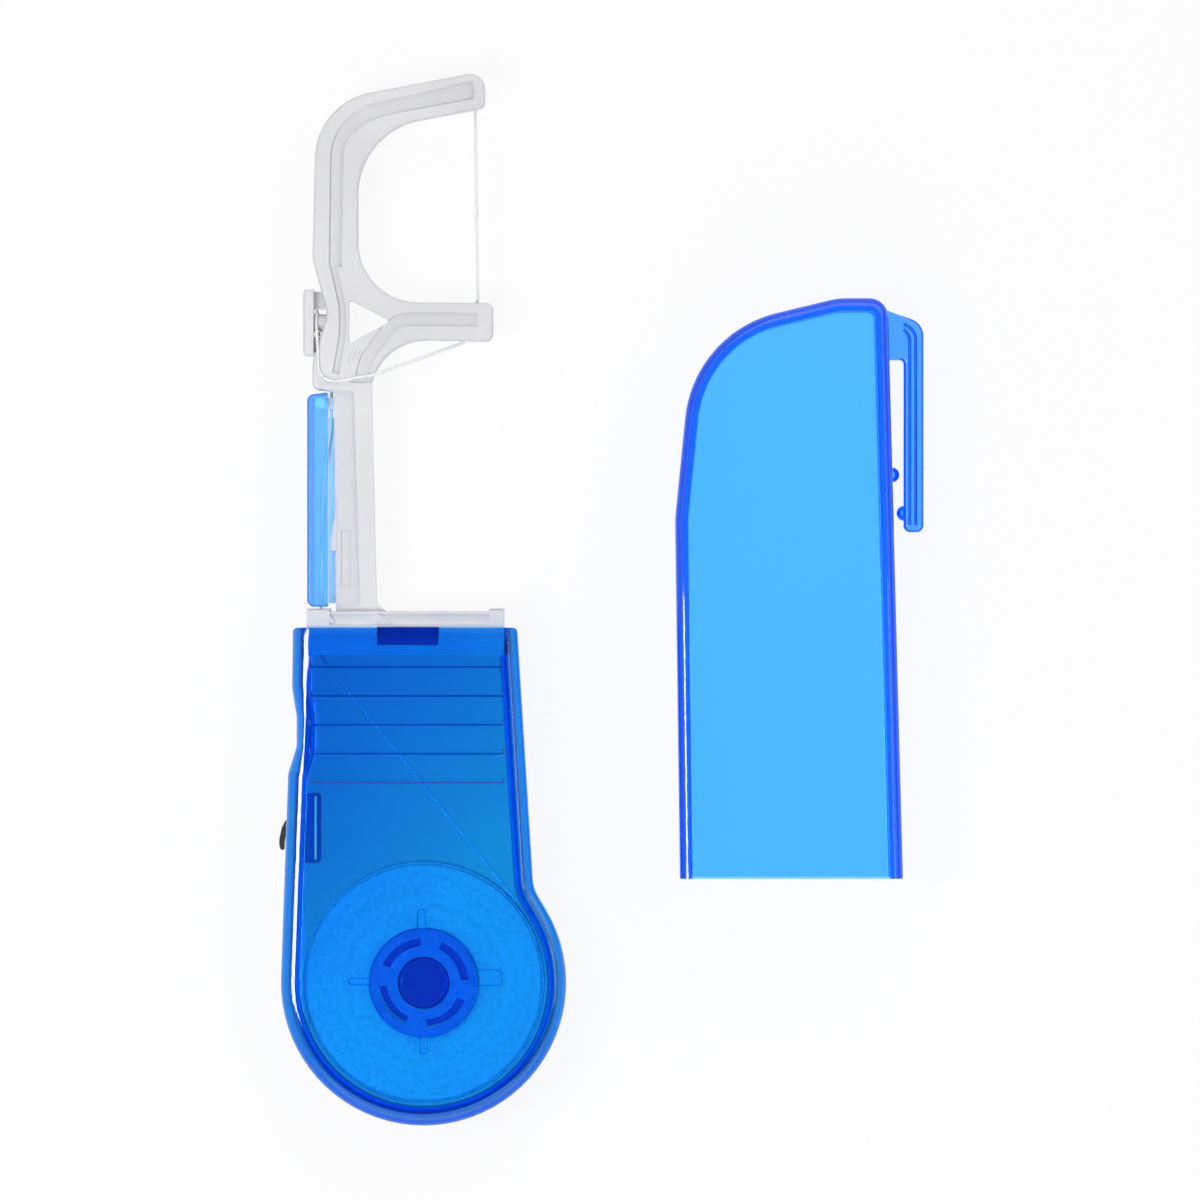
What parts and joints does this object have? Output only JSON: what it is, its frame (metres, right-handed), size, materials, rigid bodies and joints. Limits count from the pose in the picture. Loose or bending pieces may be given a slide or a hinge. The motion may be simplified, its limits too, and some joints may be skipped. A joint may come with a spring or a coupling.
{
  "type": "dental floss holder",
  "caption": "Refillable floss holder: fork head, hinged locking lever, round handle with floss roll on a spindle, side cutter and clip-on cap.",
  "frame": {"origin": "on the axis of the floss roll, in the plane of the housing's flat back face", "axes": "+Y along the handle towards the fork, +Z away from the surface the holder lies on, +X towards the cap that lies beside it"},
  "size_m": [0.0805, 0.1313, 0.0133],
  "materials": {
    "blue_shell": "polished translucent blue",
    "blue_cover": "polished translucent blue",
    "blue_cap": "polished translucent sky blue",
    "blue_lever": "glossy translucent light blue",
    "white_head": "satin white moulding",
    "roll_core": "natural moulded",
    "floss_pack": "waxed white floss, wound",
    "floss": "waxed white floss",
    "cutter_steel": "dark stamped spring steel"
  },
  "bodies": {
    "body": {"rear_shell": "blue_shell", "floss_head": "white_head", "floss_strand": "floss", "cutter_blade": "cutter_steel"},
    "cover": {"front_cover": "blue_cover"},
    "roll": {"roll_core": "roll_core", "floss_winding": "floss_pack"},
    "lever": {"lock_lever": "blue_lever"},
    "cap": {"cap_shell": "blue_cap"}
  },
  "joints": [
    {"name": "roll_spin", "type": "hinge", "parent": "body", "child": "roll", "pos_m": [0, 0, 0.006], "axis": [0, 0, 1], "continuous": true},
    {"name": "lever_swing", "type": "hinge", "parent": "body", "child": "lever", "pos_m": [-0.01285, 0.0723, 0.0065], "axis": [0, 0, -1], "range_deg": [0, 28]},
    {"name": "cover_lift", "type": "slide", "parent": "body", "child": "cover", "axis": [0, 0, 1], "range_m": [0, 0.014]},
    {"name": "cap_pull", "type": "slide", "parent": "body", "child": "cap", "axis": [0, 1, 0], "range_m": [-0.02, 0.03]}
  ]
}
